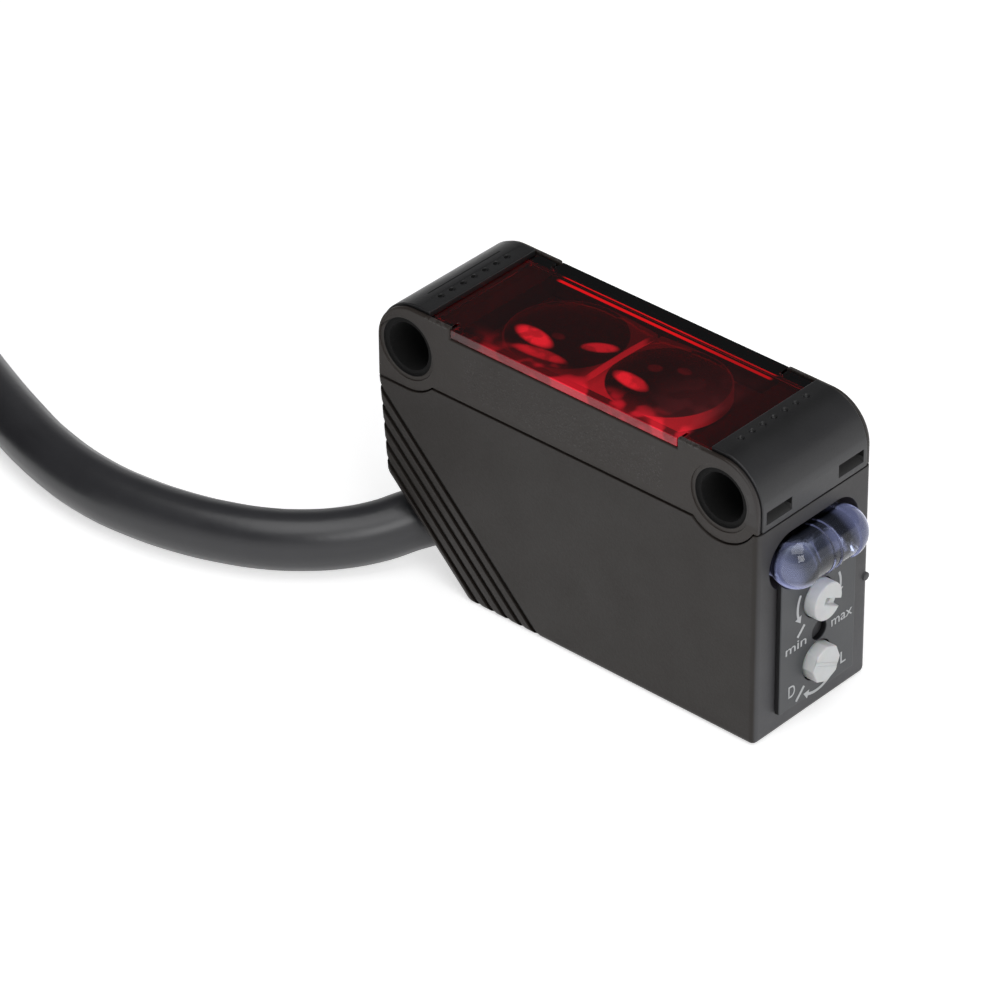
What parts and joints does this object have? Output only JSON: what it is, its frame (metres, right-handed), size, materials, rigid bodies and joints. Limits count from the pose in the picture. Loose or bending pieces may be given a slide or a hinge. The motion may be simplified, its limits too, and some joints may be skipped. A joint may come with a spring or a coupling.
{
  "type": "retro-reflective photoelectric sensor",
  "caption": "Miniature retro-reflective photoelectric sensor with a clear red front window, indicator capsule, rotary adjusters and a moulded-in cable with a tied coil.",
  "frame": {"origin": "on the flat back face, under the middle of the sensor's own box, without the cable outside the bush", "axes": "+X towards the end with the indicator and the two adjusters, +Y across the thin side, +Z along the light beam, out of the front window"},
  "size_m": [0.1203, 0.065, 0.02],
  "materials": {
    "black_matte": "fine spark-eroded black PBT",
    "black_gloss": "satin black",
    "clear_red": "polished clear red polyarylate",
    "clear_lens": "polished moulded lens",
    "polarising_film": "smooth dark film",
    "barrier_black": "dull black",
    "board_green": "solder resist",
    "led_package": "clear epoxy on a pale body",
    "chip_black": "moulded epoxy",
    "tin_plate": "tin-plated steel",
    "capacitor_yellow": "moulded epoxy",
    "trimmer_blue": "moulded plastic",
    "led_green": "clear epoxy",
    "led_orange": "clear epoxy",
    "panel_grey": "dark grey with white print",
    "smoky_clear": "polished smoky blue-grey",
    "white_plastic": "white acetal",
    "seal_rubber": "nitrile ring",
    "cable_pvc": "satin dark grey vinyl",
    "tie_black": "nylon band",
    "core_brown": "brown insulation",
    "core_blue": "blue insulation",
    "core_black": "black insulation",
    "tinned_copper": "tinned copper strands"
  },
  "bodies": {
    "sensor": {"case": "black_matte", "front_frame": "black_matte", "end_block_panel_end": "black_gloss", "end_block_cable_end": "black_gloss", "front_window": "clear_red", "emitter_lens": "clear_lens", "receiver_lens": "clear_lens", "emitter_polariser": "polarising_film", "receiver_polariser": "polarising_film", "lens_holder": "barrier_black", "front_board": "board_green", "emitter_led": "led_package", "receiver_chip": "chip_black", "receiver_shield": "tin_plate", "main_board": "board_green", "control_chip": "chip_black", "output_transistor": "chip_black", "supply_regulator": "chip_black", "supply_capacitor": "capacitor_yellow", "filter_capacitor": "capacitor_yellow", "sensitivity_trimmer": "trimmer_blue", "selector_switch": "trimmer_blue", "stability_led": "led_green", "operation_led": "led_orange", "adjuster_panel": "panel_grey", "indicator_window": "smoky_clear", "adjuster_seal": "seal_rubber", "selector_seal": "seal_rubber", "cable_bush": "cable_pvc", "inner_sheath": "cable_pvc", "inner_core_brown": "core_brown", "inner_core_blue": "core_blue", "inner_core_black": "core_black", "cable_lead": "cable_pvc", "cable_coil": "cable_pvc", "cable_tail": "cable_pvc", "cable_tie": "tie_black", "core_brown": "core_brown", "core_blue": "core_blue", "core_black": "core_black", "conductor_brown": "tinned_copper", "conductor_blue": "tinned_copper", "conductor_black": "tinned_copper"},
    "adjuster": {"sensitivity_adjuster": "white_plastic"},
    "selector": {"operation_selector": "white_plastic"}
  },
  "joints": [
    {"name": "sensitivity_turn", "type": "hinge", "parent": "sensor", "child": "adjuster", "pos_m": [0.01571, 0, 0.0086], "axis": [1, 0, 0], "range_deg": [0, 240]},
    {"name": "operation_turn", "type": "hinge", "parent": "sensor", "child": "selector", "pos_m": [0.01571, 0, 0.00395], "axis": [1, 0, 0], "range_deg": [-130, 0]}
  ]
}
